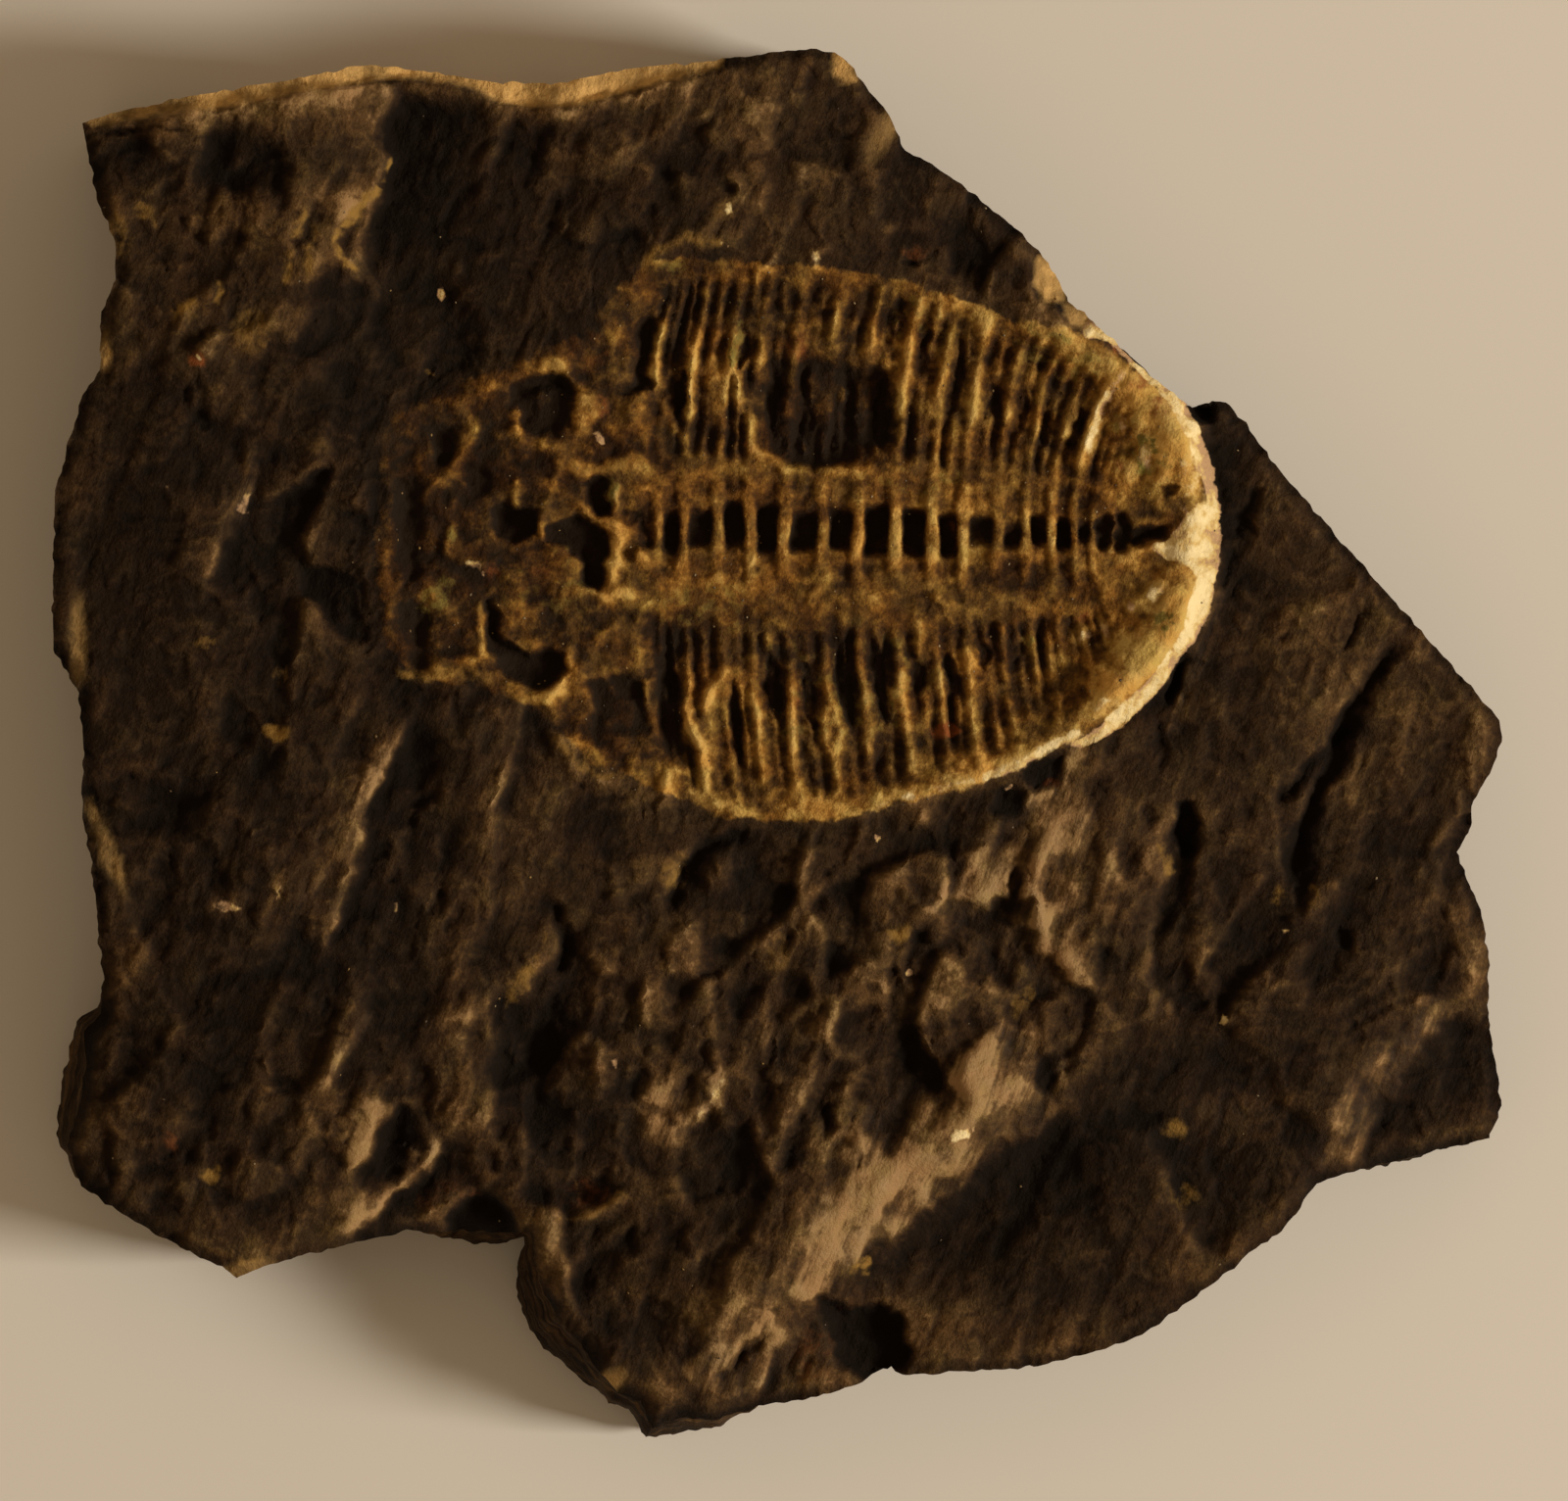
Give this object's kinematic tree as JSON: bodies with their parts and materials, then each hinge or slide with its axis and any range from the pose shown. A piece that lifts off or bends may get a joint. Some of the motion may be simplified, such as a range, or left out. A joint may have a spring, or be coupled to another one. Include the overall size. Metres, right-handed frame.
{
  "type": "fossil slab",
  "caption": "Broken plate of dark shale whose face holds the hollow, rust-coated imprint of a trilobite, lying on its flat back.",
  "frame": {"origin": "middle of the slab's bounding box, on its flat back", "axes": "+Z out of the fossil face, +X from the animal's head towards its tail, +Y towards the slab's top edge as shown"},
  "size_m": [0.1182, 0.1137, 0.0172],
  "materials": {
    "shale": "matt, broken along its layers, with an ochre rust coating in the imprint"
  },
  "bodies": {
    "root": {"trilobite_slab": "shale"}
  },
  "joints": []
}
